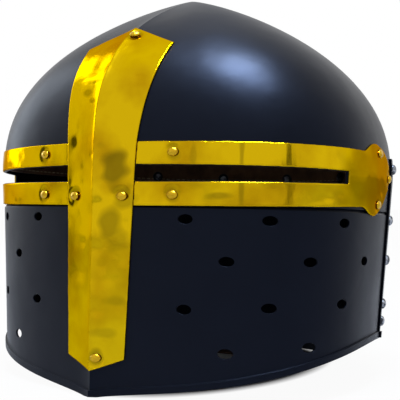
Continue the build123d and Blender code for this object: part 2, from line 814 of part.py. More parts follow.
ring_closing = lace_ring_radius / bowl_radius
ring_rise = (1 - ring_closing ** (1 / liner_closing)) ** (1 / liner_fullness)
ring_level = liner_band_top + ring_rise * (liner_crown_level - liner_band_top) - leather_thickness / 2
lace_plane = Plane(
    helm.from_local_coords(Vector(0, liner_centre_y, ring_level)), x_dir=helm.x_dir, z_dir=helm.z_dir
)
lace_tunnel = lace_plane.location * Torus(lace_ring_radius, lace_radius + lace_clearance)
lace_loop = lace_plane.location * Torus(lace_ring_radius, lace_radius)
hem_radius = lace_radius + lace_clearance + hem_wall
hem_half_angle = 180 / tongue_count - degrees(asin(tongue_gap / 2 / lace_ring_radius))
tongues = []
for i in range(tongue_count):
    middle = 360 / tongue_count * (i + 0.5) - 180
    stations = [(liner_band_top - tongue_lap, 0.0), (liner_band_top, 0.0)]
    stations += [(None, ring_rise * (j + 1) / liner_sections) for j in range(liner_sections)]
    cuts = []
    for level, rise in stations:
        here = level or liner_band_top + rise * (liner_crown_level - liner_band_top)
        fall = leather_thickness / (liner_crown_level - liner_band_top) if rise else 0
        cuts.append(tongue_section(middle, here, bowl_section(rise, tongue_outer),
                                   bowl_section(rise * (1 + fall), tongue_outer - leather_thickness)))
    hem = lace_plane.location * Rot(0, 0, middle - 90 - hem_half_angle) * Torus(
        lace_ring_radius, hem_radius, major_angle=2 * hem_half_angle, align=None
    )
    with BuildPart() as tongue:
        loft(cuts, ruled=True)
        add(hem)
        add(lace_tunnel, mode=Mode.SUBTRACT)
    tongues.append(tongue.part)
with BuildPart() as liner_tongues:
    for tongue in tongues:
        add(tongue)
keep(liner_tongues.part, "liner_tongues")

knot_turn = 90 - 360 / tongue_count
knot_place = lace_plane.location * Pos(
    lace_ring_radius * cos(radians(knot_turn)), lace_ring_radius * sin(radians(knot_turn)), 0
)
lace_end = Pos(0, 0, -lace_end_length / 2) * Cylinder(lace_end_radius, lace_end_length)
lace_pieces = [lace_loop, knot_place * Sphere(knot_radius)]
for splay in (-lace_end_splay, lace_end_splay):
    lace_pieces.append(knot_place * Rot(0, 0, knot_turn) * Rot(splay, 0, 0) * lace_end)
with BuildPart() as crown_lace:
    for piece in lace_pieces:
        add(piece)
keep(crown_lace.part, "crown_lace")

# ---------------------------------------------------------------- chin strap: two leather halves and a buckle
strap_hang = Plane((0, pivot.Y, 0), x_dir=(1, 0, 0), z_dir=(0, -1, 0))
over_level = buckle_level + buckle_wire_radius + buckle_clearance + strap_thickness
free_level = over_level + layer_gap + strap_thickness / 2
leg_foot_level = pivot.Z - strap_leg_drop


def strap_end(side):
    """Round end of the strap with its rivet hole, square to the swing axis."""
    eye = Pos(side * pivot.X, pivot.Y, pivot.Z) * Rot(0, 90, 0)
    return eye * Cylinder(strap_width / 2, strap_thickness), eye * Cylinder(strap_hole_radius, 4 * strap_thickness)


long_end, long_hole = strap_end(1)
short_end, short_hole = strap_end(-1)

rise_end_x = rise_start_x - (free_level - strap_floor)
pin_hole = Pos(pin_hole_x, pivot.Y, buckle_level) * Box(pin_hole_length, 2 * prong_slot_half, 8 * strap_thickness)
punch = extrude(Circle(punch_radius), amount=2 * strap_floor, both=True)
with BuildPart() as long_strap:
    with BuildSketch(strap_hang):
        with BuildLine():
            FilletPolyline(
                (pivot.X, pivot.Z),
                (pivot.X, leg_foot_level),
                (strap_bottom_half, strap_floor),
                (rise_start_x, strap_floor),
                (rise_end_x, free_level),
                (strap_tail_x, free_level),
                radius=[strap_bend_radius, strap_bend_radius, rise_radius, rise_radius],
            )
        trace(line_width=strap_thickness)
    extrude(amount=strap_width / 2, both=True)
    add(long_end)
    add(long_hole, mode=Mode.SUBTRACT)
    add(pin_hole, mode=Mode.SUBTRACT)
    with Locations(*[(x, pivot.Y, strap_floor) for x in punch_xs]):
        add(punch, mode=Mode.SUBTRACT)
keep(long_strap.part, "long_strap")

fold_level = strap_floor + strap_thickness + buckle_clearance
fold_radius = buckle_wire_radius + buckle_clearance + strap_thickness / 2
prong_slot = Pos(-buckle_half_length, pivot.Y, buckle_level) * Box(
    2 * prong_slot_length, 2 * prong_slot_half, 3 * fold_radius
)
fold_places = [(fold_rivet_x, pivot.Y + side * fold_rivet_spread, fold_level) for side in (1, -1)]
fold_hole = Cylinder(brass_shank_radius + hole_clearance, 6 * strap_thickness)
with BuildPart() as buckle_strap:
    with BuildSketch(strap_hang):
        with BuildLine():
            FilletPolyline(
                (-pivot.X, pivot.Z),
                (-pivot.X, leg_foot_level),
                (-strap_bottom_half, strap_floor),
                (-buckle_half_length, strap_floor),
                radius=strap_bend_radius,
            )
            ThreePointArc(
                (-buckle_half_length, strap_floor),
                (-buckle_half_length + fold_radius, buckle_level),
                (-buckle_half_length, buckle_level + fold_radius),
            )
            FilletPolyline(
                (-buckle_half_length, buckle_level + fold_radius),
                (fold_dip_x, buckle_level + fold_radius),
                (fold_dip_x - 2 * fold_radius, fold_level),
                (fold_end_x, fold_level),
                radius=strap_thickness,
            )
        trace(line_width=strap_thickness)
    extrude(amount=strap_width / 2, both=True)
    add(short_end)
    add(short_hole, mode=Mode.SUBTRACT)
    add(prong_slot, mode=Mode.SUBTRACT)
    with Locations(*fold_places):
        add(fold_hole, mode=Mode.SUBTRACT)
keep(buckle_strap.part, "buckle_strap")

with BuildPart() as buckle_frame:
    with BuildSketch(Plane((0, pivot.Y, buckle_level))):
        frame_length = 2 * buckle_half_length
        frame_width = 2 * buckle_half_width
        wire = 2 * buckle_wire_radius
        RectangleRounded(frame_length + wire, frame_width + wire, buckle_corner_radius + buckle_wire_radius)
        RectangleRounded(frame_length - wire, frame_width - wire, buckle_corner_radius - buckle_wire_radius,
                         mode=Mode.SUBTRACT)
    extrude(amount=buckle_wire_radius, both=True)
    fillet(buckle_frame.edges(), radius=buckle_round)
keep(buckle_frame.part, "buckle_frame")

eye_bore = buckle_wire_radius + buckle_clearance
eye_radius = eye_bore + prong_eye_wall
prong_foot = buckle_level + eye_bore
with BuildPart() as buckle_prong:
    with BuildSketch(strap_hang):
        with Locations((-buckle_half_length, buckle_level)):
            Circle(eye_radius)
        with BuildLine():
            Polyline(
                (-buckle_half_length, buckle_level + eye_radius - prong_thickness),
                (buckle_half_length + prong_overhang, prong_foot),
                (buckle_half_length + prong_overhang, prong_foot + prong_thickness * 0.7),
                (-buckle_half_length, buckle_level + eye_radius),
                close=True,
            )
        make_face()
        with Locations((-buckle_half_length, buckle_level)):
            Circle(eye_bore, mode=Mode.SUBTRACT)
    extrude(amount=prong_half_width, both=True)
keep(buckle_prong.part, "buckle_prong")

keeper_low = strap_floor - strap_thickness / 2 - keeper_gap
keeper_high = free_level + strap_thickness / 2 + keeper_gap
with BuildPart() as strap_keeper:
    with BuildSketch(Plane((keeper_x, pivot.Y, (keeper_low + keeper_high) / 2), x_dir=(0, 1, 0), z_dir=(1, 0, 0))):
        inner_width = strap_width + 2 * keeper_gap
        inner_height = keeper_high - keeper_low
        RectangleRounded(inner_width + 2 * keeper_wall, inner_height + 2 * keeper_wall, 2 * keeper_wall)
        RectangleRounded(inner_width, inner_height, keeper_wall / 2, mode=Mode.SUBTRACT)
    extrude(amount=keeper_length / 2, both=True)
keep(strap_keeper.part, "strap_keeper")

fold_top = fold_level + strap_thickness / 2 + head_seat
fold_foot = strap_floor - strap_thickness / 2 - head_seat
with BuildPart() as fold_rivets:
    with BuildSketch(Plane((0, pivot.Y, fold_foot))):
        with Locations(*[(place[0], place[1] - pivot.Y) for place in fold_places]):
            Circle(brass_shank_radius)
    extrude(amount=fold_top - fold_foot)
    for level, direction in ((fold_top, 1), (fold_foot, -1)):
        with BuildSketch(Plane((0, pivot.Y, level))):
            with Locations(*[(place[0], place[1] - pivot.Y) for place in fold_places]):
                Circle(fold_rivet_head)
        extrude(amount=direction * fold_rivet_height)
keep(fold_rivets.part, "fold_rivets")

strap_spacer = washer(spacer_top, spacer_thickness, spacer_radius)
with BuildPart() as strap_spacers:
    set_rivets(strap_spacer, lobe_lower)
keep(strap_spacers.part, "strap_spacers")
strap_washer = washer(strap_washer_top, washer_thickness, washer_radius)
with BuildPart() as strap_washers:
    set_rivets(strap_washer, lobe_lower)
keep(strap_washers.part, "strap_washers")
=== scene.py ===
# %% [markdown]
# # A knight's great helm in blackened steel and brass
# The steel shell, the brass and the rivets come from the CAD frame and keep their shapes.
# This lesson gives them their finishes, and makes the leather liner, the lace and the strap
# as real soft pieces, with bent edges, grain and stitching.

# %% Load the frame
import bmesh
import bpy
import random
from math import cos, pi, radians, sin

import numpy as np
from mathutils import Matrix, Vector
from mathutils.bvhtree import BVHTree


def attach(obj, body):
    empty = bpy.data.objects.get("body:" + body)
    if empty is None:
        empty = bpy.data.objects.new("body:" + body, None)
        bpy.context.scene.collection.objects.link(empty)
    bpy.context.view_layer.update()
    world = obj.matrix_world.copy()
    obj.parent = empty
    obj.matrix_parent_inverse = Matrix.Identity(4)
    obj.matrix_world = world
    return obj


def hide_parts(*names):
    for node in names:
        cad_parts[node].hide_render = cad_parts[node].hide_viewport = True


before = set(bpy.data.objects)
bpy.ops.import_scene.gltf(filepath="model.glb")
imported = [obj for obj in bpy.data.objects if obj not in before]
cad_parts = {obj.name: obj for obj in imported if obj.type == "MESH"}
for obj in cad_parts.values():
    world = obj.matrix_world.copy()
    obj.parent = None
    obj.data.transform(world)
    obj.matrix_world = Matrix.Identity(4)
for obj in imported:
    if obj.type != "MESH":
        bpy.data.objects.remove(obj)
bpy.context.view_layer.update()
MM = 0.001

# %% [markdown]
# Colours are written as sRGB hex values, the way a paint chart gives them. Blender's shaders
# want linear light, so one function turns a hex value into a linear colour.

# %% Colours
def srgb(code):
    parts = [int(code[i:i + 2], 16) / 255 for i in (1, 3, 5)]
    linear = [p / 12.92 if p <= 0.04045 else ((p + 0.055) / 1.055) ** 2.4 for p in parts]
    return (*linear, 1.0)


print("mid grey is", round(srgb("#808080")[0], 3), "in linear light")

# %% [markdown]
# A node material is a small graph. One function adds a node, sets its values and links its
# inputs, so that each material below reads as a list of what the real surface has.

# %% One function for nodes
def add_node(tree, kind, links=None, values=None, **settings):
    node = tree.nodes.new(kind)
    for key, value in settings.items():
        setattr(node, key, value)
    for key, value in (values or {}).items():
        node.inputs[key].default_value = value
    for key, source in (links or {}).items():
        tree.links.new(source, node.inputs[key])
    return node


def new_material(name):
    material = bpy.data.materials.new(name)
    material.use_nodes = True
    material.node_tree.nodes.clear()
    return material, material.node_tree


print("node helper ready")

# %% [markdown]
# The camera stands to the wearer's left, level with the eye slits and about 0.75 m off, with
# a short telephoto lens. The shift only moves the helm to the middle of the frame.

# %% Camera
camera_data = bpy.data.cameras.new("camera")
camera_data.lens = 91.5
camera_data.sensor_width = 36.0
camera_data.shift_x = 0.0333
camera = bpy.data.objects.new("camera", camera_data)
bpy.context.scene.collection.objects.link(camera)
camera.location = (0.39796, -0.63367, 0.12858)
camera.rotation_euler = (radians(90 - 0.51), 0, radians(33.18))
bpy.context.scene.camera = camera
print("camera", [round(c, 3) for c in camera.location], "lens", camera_data.lens)

# %% [markdown]
# A plain white studio: the world is white to the camera and in reflections, while the light
# that it sheds on the object is weaker and soft. The colours are shown as they are
# written, so the view transform is Standard.

# %% World
bpy.context.scene.view_settings.view_transform = "Standard"
world = bpy.data.worlds.new("studio")
bpy.context.scene.world = world
world.use_nodes = True
world.node_tree.nodes.clear()
tree = world.node_tree
rays = add_node(tree, "ShaderNodeLightPath")
seen = add_node(tree, "ShaderNodeMath",
                {0: rays.outputs["Is Camera Ray"], 1: rays.outputs["Is Glossy Ray"]},
                operation="MAXIMUM")
seen = add_node(tree, "ShaderNodeMath",
                {0: seen.outputs[0], 1: rays.outputs["Is Transmission Ray"]}, operation="MAXIMUM")
room = add_node(tree, "ShaderNodeBackground", values={"Color": srgb("#F4F6FA"), "Strength": 0.55})
white = add_node(tree, "ShaderNodeBackground", values={"Color": (1, 1, 1, 1), "Strength": 1.0})
mixed = add_node(tree, "ShaderNodeMixShader",
                 {0: seen.outputs[0], 1: room.outputs[0], 2: white.outputs[0]})
add_node(tree, "ShaderNodeOutputWorld", {"Surface": mixed.outputs[0]})
print("world ready")

# %% [markdown]
# The floor is a pale sheet. It takes the helm's faint shadow and otherwise shows as white as
# the background, so part of it shines for camera rays only. Under the helm nothing shines,
# so the breath holes and the slits look into the dark. From below the sheet is clear, so
# that the inside of the helm can be looked at.

# %% Floor
shade_wide, shade_long = 0.075, 0.12  # half sizes of the dark patch under the helm, in metres
floor_mesh = bpy.data.meshes.new("floor")
floor_mesh.from_pydata([(-6, -6, 0), (6, -6, 0), (6, 6, 0), (-6, 6, 0)], [], [(0, 1, 2, 3)])
floor = bpy.data.objects.new("floor", floor_mesh)
bpy.context.scene.collection.objects.link(floor)
floor_paper, tree = new_material("floor_paper")
rays = add_node(tree, "ShaderNodeLightPath")
matt = add_node(tree, "ShaderNodeBsdfDiffuse", values={"Color": srgb("#F2F2F2")})
glow = add_node(tree, "ShaderNodeEmission", values={"Color": (1, 1, 1, 1), "Strength": 1.0})
ground = add_node(tree, "ShaderNodeTexCoord").outputs["Object"]
footprint = add_node(tree, "ShaderNodeMapping", {"Vector": ground},
                     {"Scale": (1 / shade_wide, 1 / shade_long, 0)})
from_helm = add_node(tree, "ShaderNodeVectorMath", {0: footprint.outputs[0]}, operation="LENGTH")
outside = add_node(tree, "ShaderNodeMapRange", {"Value": from_helm.outputs["Value"]},
                   {"From Min": 0.95, "From Max": 1.1, "To Min": 0.0, "To Max": 0.95})
share = add_node(tree, "ShaderNodeMath",
                 {0: rays.outputs["Is Camera Ray"], 1: outside.outputs[0]}, operation="MULTIPLY")
mixed = add_node(tree, "ShaderNodeMixShader",
                 {0: share.outputs[0], 1: matt.outputs[0], 2: glow.outputs[0]})
under = add_node(tree, "ShaderNodeNewGeometry").outputs["Backfacing"]
clear = add_node(tree, "ShaderNodeBsdfTransparent")
below = add_node(tree, "ShaderNodeMath",
                 {0: under, 1: rays.outputs["Is Camera Ray"]}, operation="MULTIPLY")
sheet = add_node(tree, "ShaderNodeMixShader",
                 {0: below.outputs[0], 1: mixed.outputs[0], 2: clear.outputs[0]})
add_node(tree, "ShaderNodeOutputMaterial", {"Surface": sheet.outputs[0]})
floor_mesh.materials.append(floor_paper)
print("floor ready")

# %% [markdown]
# One softbox hangs nearly overhead, a little in front and to the wearer's left, and a weaker
# one fills from the other side. A third, beside the first, shows in reflections only: it
# gives the dome its soft sheen and sheds no light on anything matt.

# %% Lamps
def softbox(name, place, aim, size, watts, tint):
    data = bpy.data.lights.new(name, "AREA")
    data.shape = "RECTANGLE"
    data.size, data.size_y = size
    data.energy = watts
    data.color = srgb(tint)[:3]
    lamp = bpy.data.objects.new(name, data)
    bpy.context.scene.collection.objects.link(lamp)
    lamp.location = place
    lamp.rotation_euler = (Vector(aim) - Vector(place)).to_track_quat("-Z", "Y").to_euler()
    print(name, "at", place, "with", watts, "W")
    return lamp


softbox("softbox_key", (0.36, -0.46, 2.1), (0.06, -0.03, 0.2), (0.6, 0.7), 28, "#DCE8FF")
softbox("softbox_fill", (-1.7, 0.1, 0.8), (0, 0, 0.12), (0.6, 1.2), 8, "#E6F2FF")
sheen = softbox("softbox_sheen", (0.3, -0.42, 2.1), (0.06, -0.03, 0.2), (0.6, 0.8), 120, "#CFE4FF")
sheen.visible_diffuse = False

# %% [markdown]
# Bright metal only looks like metal when it has something dark to reflect as well. Two tall
# dark cards stand beside the helm, where only reflections see them.

# %% Dark cards
card_felt, tree = new_material("card_felt")
felt = add_node(tree, "ShaderNodeBsdfDiffuse", values={"Color": srgb("#2A2A26")})
add_node(tree, "ShaderNodeOutputMaterial", {"Surface": felt.outputs[0]})


def dark_card(name, corners):
    mesh = bpy.data.meshes.new(name)
    mesh.from_pydata(corners, [], [(0, 1, 2, 3)])
    card = bpy.data.objects.new(name, mesh)
    bpy.context.scene.collection.objects.link(card)
    mesh.materials.append(card_felt)
    card.visible_camera = card.visible_diffuse = card.visible_shadow = False
    card.visible_transmission = card.visible_volume_scatter = False


dark_card("tall_card_left",
          [(-1.5, -0.9, 0.0), (-1.3, -1.15, 0.0), (-1.3, -1.15, 1.3), (-1.5, -0.9, 1.3)])
dark_card("tall_card_right",
          [(1.62, -1.2, 0.0), (1.75, -1.05, 0.0), (1.75, -1.05, 1.2), (1.62, -1.2, 1.2)])
print("two cards placed")

# %% [markdown]
# ## Finishes
# Every finish below is made of the same few steps, with sizes in millimetres: cloudy noise, a
# colour between two tones, and a bump of a given depth. Each step has a short function.

# %% Steps that the finishes share
def per(size_mm):
    """Texture scale at which one feature is this many millimetres."""
    return 1 / (size_mm * MM)


def noise(tree, place, size_mm, detail, roughness=0.5):
    texture = add_node(tree, "ShaderNodeTexNoise", {"Vector": place},
                       {"Scale": per(size_mm), "Detail": detail, "Roughness": roughness})
    return texture.outputs["Fac"]


def blend(tree, factor, dark, light):
    """A colour between two hex values."""
    mix = add_node(tree, "ShaderNodeMix", {"Factor": factor}, data_type="RGBA")
    mix.inputs[6].default_value = srgb(dark)
    mix.inputs[7].default_value = srgb(light)
    return mix.outputs[2]


def ramp(tree, factor, *stops):
    """A colour between two (place, hex value) stops, steeper than a plain blend."""
    node = add_node(tree, "ShaderNodeValToRGB", {"Fac": factor})
    for element, (position, code) in zip(node.color_ramp.elements, stops):
        element.position = position
        element.color = srgb(code)
    return node.outputs["Color"]


def bump(tree, height, depth_mm, over=None):
    """A bump this deep, laid over another normal if one is given."""
    links = {"Height": height} if over is None else {"Height": height, "Normal": over}
    node = add_node(tree, "ShaderNodeBump", links, {"Strength": 1.0, "Distance": depth_mm * MM})
    return node.outputs[0]


def soft_edges(tree, radius_mm):
    return add_node(tree, "ShaderNodeBevel", values={"Radius": radius_mm * MM}, samples=4).outputs[0]


print("steps ready: noise, blend, ramp, bump, soft edges")

# %% [markdown]
# The plates are mild steel, raised by hammer and then brushed with a thin satin enamel. What
# the eye gets is a blue-black that is nearly black when it faces the eye and greyer where it
# turns away, with the plate's low hammer hollows showing only in the highlights. The hollows
# are about 30 mm apart and the enamel's orange peel about 1.5 mm.

# %% Satin black enamel on steel
black_enamel, tree = new_material("satin_black_enamel_on_steel")
place = add_node(tree, "ShaderNodeTexCoord").outputs["Object"]
cloud = noise(tree, place, 45, 3.0)
colour = blend(tree, cloud, "#07080D", "#0B0D15")
rough = add_node(tree, "ShaderNodeMapRange", {"Value": cloud},
                 {"From Min": 0.3, "From Max": 0.7, "To Min": 0.33, "To Max": 0.4})
hollows = bump(tree, noise(tree, place, 30, 1.0), 0.5, soft_edges(tree, 0.35))
orange_peel = bump(tree, noise(tree, place, 1.5, 2.0), 0.012, hollows)
enamel = add_node(tree, "ShaderNodeBsdfPrincipled",
                  {"Base Color": colour, "Roughness": rough.outputs[0], "Normal": orange_peel},
                  {"Specular IOR Level": 0.13, "Specular Tint": srgb("#BFD2FF")})
add_node(tree, "ShaderNodeOutputMaterial", {"Surface": enamel.outputs[0]})
print("finish:", black_enamel.name)

# %% [markdown]
# The brass is rolled sheet, cut with snips, hammered over the steel and buffed. It gives a
# strong lemon yellow with a soft mirror, browner where an attribute marks painted dark
# reflections and painted shade at listed places and a ring round each rivet, and fine buffing
# lines about 0.4 mm apart. Dents are in its mesh, further down. The low waves of the rolled
# sheet, 28 mm apart, and faint marks of the hammer, 11 mm apart, are a bump.

# %% Buffed sheet brass
sheet_brass, tree = new_material("buffed_sheet_brass")
place = add_node(tree, "ShaderNodeTexCoord").outputs["Object"]
tarnish = noise(tree, place, 34, 3.0)
tone = ramp(tree, tarnish, (0.3, "#B28A06"), (0.55, "#CDAA09"))
# the attribute browns the brass as painted dark reflections and painted shade, and rings the rivets
reflection_and_ring_mask = add_node(tree, "ShaderNodeAttribute", attribute_name="painted_reflections_and_rivet_rings")
colour = add_node(tree, "ShaderNodeMix", {"Factor": reflection_and_ring_mask.outputs["Fac"], 6: tone}, data_type="RGBA")
colour.inputs[7].default_value = srgb("#6E5C0A")
rough = add_node(tree, "ShaderNodeMapRange", {"Value": tarnish},
                 {"From Min": 0.3, "From Max": 0.6, "To Min": 0.22, "To Max": 0.13})
rolled = bump(tree, noise(tree, place, 28, 1.0), 0.9, soft_edges(tree, 0.5))
blows = add_node(tree, "ShaderNodeTexVoronoi", {"Vector": place},
                 {"Scale": per(11), "Smoothness": 1.0}, feature="SMOOTH_F1")
beaten = bump(tree, blows.outputs["Distance"], 0.05, rolled)
upright = add_node(tree, "ShaderNodeMapping", {"Vector": place}, {"Scale": (1.0, 1.0, 0.12)})
buffed = bump(tree, noise(tree, upright.outputs[0], 0.4, 2.0), 0.006, beaten)
brass = add_node(tree, "ShaderNodeBsdfPrincipled",
                 {"Base Color": colour.outputs[2], "Roughness": rough.outputs[0], "Normal": buffed},
                 {"Metallic": 1.0, "Specular Tint": srgb("#D9AE2C")})
add_node(tree, "ShaderNodeOutputMaterial", {"Surface": brass.outputs[0]})
print("finish:", sheet_brass.name)

# %% [markdown]
# The brass rivets are turned solid brass with their heads set by a cupped punch, so they are
# a little browner and duller than the sheet, with small flats about 1.6 mm across.

# %% Punched brass rivets
rivet_brass, tree = new_material("punched_rivet_brass")
place = add_node(tree, "ShaderNodeTexCoord").outputs["Object"]
flats = add_node(tree, "ShaderNodeTexVoronoi", {"Vector": place}, {"Scale": per(1.6)})
tone = blend(tree, noise(tree, place, 3.0, 3.0), "#A67C18", "#DDB527")
beaten = bump(tree, flats.outputs["Distance"], 0.08, soft_edges(tree, 0.3))
rivet = add_node(tree, "ShaderNodeBsdfPrincipled", {"Base Color": tone, "Normal": beaten},
                 {"Metallic": 1.0, "Roughness": 0.26})
add_node(tree, "ShaderNodeOutputMaterial", {"Surface": rivet.outputs[0]})
print("finish:", rivet_brass.name)

# %% [markdown]
# The steel rivets of the neck plate went in before the enamel was dry: dark, with patches
# about 2.4 mm across rubbed to bare grey steel. Their washers inside the helm are the same
# steel in darker tones, painted shade for the inside of the helm, so a function takes the two tones.

# %% Darkened steel
def blackened_steel(name, low, high):
    material, tree = new_material(name)
    place = add_node(tree, "ShaderNodeTexCoord").outputs["Object"]
    rubbed = noise(tree, place, 2.4, 4.0)
    tone = ramp(tree, rubbed, (0.42, low), (0.62, high))
    pits = bump(tree, rubbed, 0.05, soft_edges(tree, 0.3))
    steel = add_node(tree, "ShaderNodeBsdfPrincipled", {"Base Color": tone, "Normal": pits},
                     {"Metallic": 1.0, "Roughness": 0.38})
    add_node(tree, "ShaderNodeOutputMaterial", {"Surface": steel.outputs[0]})
    print("finish:", name)
    return material


rivet_steel = blackened_steel("rubbed_rivet_steel", "#3A3C42", "#A9ACB3")
# the washers' darker tones are painted shade for the inside of the helm
shaded_washer_steel = blackened_steel("washer_steel_painted_shade", "#17181B", "#34363B")

# %% [markdown]
# The buckle is cast brass, tumbled smooth: duller and redder than the sheet, with a faint
# skin of casting grain about 0.8 mm across.

# %% Cast buckle brass
cast_brass, tree = new_material("tumbled_cast_brass")
place = add_node(tree, "ShaderNodeTexCoord").outputs["Object"]
tone = blend(tree, noise(tree, place, 9, 2.0), "#9C7430", "#C9A552")
skin = bump(tree, noise(tree, place, 0.8, 3.0), 0.03)
cast = add_node(tree, "ShaderNodeBsdfPrincipled", {"Base Color": tone, "Normal": skin},
                {"Metallic": 1.0, "Roughness": 0.34})
add_node(tree, "ShaderNodeOutputMaterial", {"Surface": cast.outputs[0]})
print("finish:", cast_brass.name)

# %% [markdown]
# Three leathers share one build: vegetable-tanned hide with pebbled grain cells about 1 mm
# across, cloudy dye, and a dull wax. Only the dye and the wax differ, so a function takes
# them. A little sheen stands for the nap of the liner's flesh side.

# %% Leather
def leather(name, dark, light, roughness, grain_mm, grain_depth_mm, sheen):
    material, tree = new_material(name)
    place = add_node(tree, "ShaderNodeTexCoord").outputs["Object"]
    tone = ramp(tree, noise(tree, place, 14, 5.0, 0.62), (0.3, dark), (0.7, light))
    cells = add_node(tree, "ShaderNodeTexVoronoi", {"Vector": place}, {"Scale": per(grain_mm)})
    pebble = bump(tree, cells.outputs["Distance"], grain_depth_mm)
    hide = add_node(tree, "ShaderNodeBsdfPrincipled", {"Base Color": tone, "Normal": pebble},
                    {"Roughness": roughness, "Specular IOR Level": 0.4, "Sheen Weight": sheen,
                     "Sheen Roughness": 0.5})
    add_node(tree, "ShaderNodeOutputMaterial", {"Surface": hide.outputs[0]})
    print("finish:", name)
    return material


liner_hide = leather("flesh_side_hide", "#5A3A22", "#8A6340", 0.8, 1.1, 0.12, 0.25)
strap_hide = leather("waxed_bridle_leather", "#2A170C", "#4A2C18", 0.45, 0.9, 0.06, 0.0)
thong_hide = leather("waxed_thong_leather", "#6B4424", "#8F6236", 0.55, 0.8, 0.05, 0.0)

# %% [markdown]
# ## Pieces
# The plates and the rivets keep their CAD shape and only change their finish.

# %% Finishes on the CAD pieces
finishes = {
    "skull": black_enamel, "face_plate": black_enamel, "neck_plate": black_enamel,
    "band_rivets": rivet_brass, "crossing_rivets": rivet_brass, "bar_end_rivets": rivet_brass,
    "terminal_rivets": rivet_brass, "strap_rivets": rivet_brass,
    "seam_rivets": rivet_steel, "lap_rivets": rivet_steel, "liner_washers": shaded_washer_steel,
    "strap_washers": shaded_washer_steel, "buckle_frame": cast_brass, "buckle_prong": cast_brass,
    "fold_rivets": cast_brass,
}


def dress(piece, material):
    for slot in piece.material_slots:
        slot.material = material
    if not piece.material_slots:
        piece.data.materials.append(material)


for node, material in finishes.items():
    dress(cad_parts[node], material)
print(len(finishes), "CAD pieces have their finish")

# %% [markdown]
# Some pieces need a livelier surface than a CAD solid has: sheet that a hammer has dented, and
# leather with soft edges. Each starts as a copy of its CAD piece, so its size and place are
# right. A voxel remesh gives it even small faces that round its edges a little, and then
# its points can be moved.

# %% Remaking a CAD piece in small even faces
def remade(node, name, voxel_mm, rounds):
    piece = bpy.data.objects.new(name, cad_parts[node].data.copy())
    bpy.context.scene.collection.objects.link(piece)
    even = piece.modifiers.new("even", "REMESH")
    even.mode = "VOXEL"
    even.voxel_size = voxel_mm * MM
    even.use_smooth_shade = True
    ease = piece.modifiers.new("ease", "SMOOTH")
    ease.factor = 0.5
    ease.iterations = rounds
    bpy.context.view_layer.update()
    seen = piece.evaluated_get(bpy.context.evaluated_depsgraph_get())
    piece.data = bpy.data.meshes.new_from_object(seen)
    piece.modifiers.clear()
    print(name, "has", len(piece.data.vertices), "points")
    return piece


print("pieces can be remade")

# %% Moving points, and taking a CAD piece's place
def points_of(mesh):
    points = np.empty(len(mesh.vertices) * 3)
    mesh.vertices.foreach_get("co", points)
    return points.reshape(-1, 3)


def move_points(mesh, points):
    mesh.vertices.foreach_set("co", points.ravel())
    mesh.update()


def stands_for(piece, node, body, material):
    piece.data.materials.clear()
    piece.data.materials.append(material)
    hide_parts(node)
    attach(piece, body)


print("points can be moved")

# %% [markdown]
# The brass was beaten flat against the steel by hand. It has long shallow waves, round dents
# from the hammer's face, 4 to 11 mm wide at half their depth, and a dimple drawn in round
# each rivet. Seeded random numbers place the dents, so every run gives the same sheet.

# %% Where the rivets are
def islands(node):
    """Middle of each separate solid in a CAD piece."""
    grid = bmesh.new()
    grid.from_mesh(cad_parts[node].data)
    met = set()
    middles = []
    for first in grid.verts:
        if first in met:
            continue
        met.add(first)
        group = [first]
        for vert in group:
            for edge in vert.link_edges:
                other = edge.other_vert(vert)
                if other not in met:
                    met.add(other)
                    group.append(other)
        middles.append(sum((v.co for v in group), Vector()) / len(group))
    grid.free()
    return middles


rivet_nodes = ("band_rivets", "crossing_rivets", "bar_end_rivets", "terminal_rivets", "strap_rivets")
brass_rivets = [middle for node in rivet_nodes for middle in islands(node)]
print(len(brass_rivets), "brass rivets found")

# %% Which way is out
brow = Vector((0.0, -0.02, 0.138))


def outward(points):
    """Direction away from the middle of the head: level below the brow, rising over the dome."""
    away = points - np.array(brow)
    away[:, 2] = np.maximum(away[:, 2], 0)
    return away / np.linalg.norm(away, axis=1, keepdims=True)


print("out is away from", [round(c / MM) for c in brow])

# %% [markdown]
# Listed places on the brass are painted dark reflections and painted shade, and each rivet gets
# a darker ring. Each is a patch with a wobbling edge, kept in an attribute that the finish reads.

# %% Painted reflections and shade
# painted dark reflections and painted shade on the brass
# each one's x, height and half sizes in mm, then its strength
painted_reflections_and_shade = [
    (13, 143, 8, 13, 0.75), (21, 122, 7, 5, 0.45), (11, 108, 7, 10, 0.6), (16, 98, 8, 5, 0.4),
    (-13, 204, 5, 2, 0.6), (-9, 199, 7, 1.5, 0.6), (-14, 192, 4, 2, 0.5), (-6, 186, 3, 1.5, 0.6),
    (92, 151, 1.2, 8, 0.5), (92, 129, 1.4, 8, 0.5), (80, 126, 6, 2, 0.5), (64, 151, 2, 8, 0.3),
    (16, 60, 7, 3, 0.3), (10, 40, 8, 3, 0.3), (142, 137, 5, 22, 0.45),
]


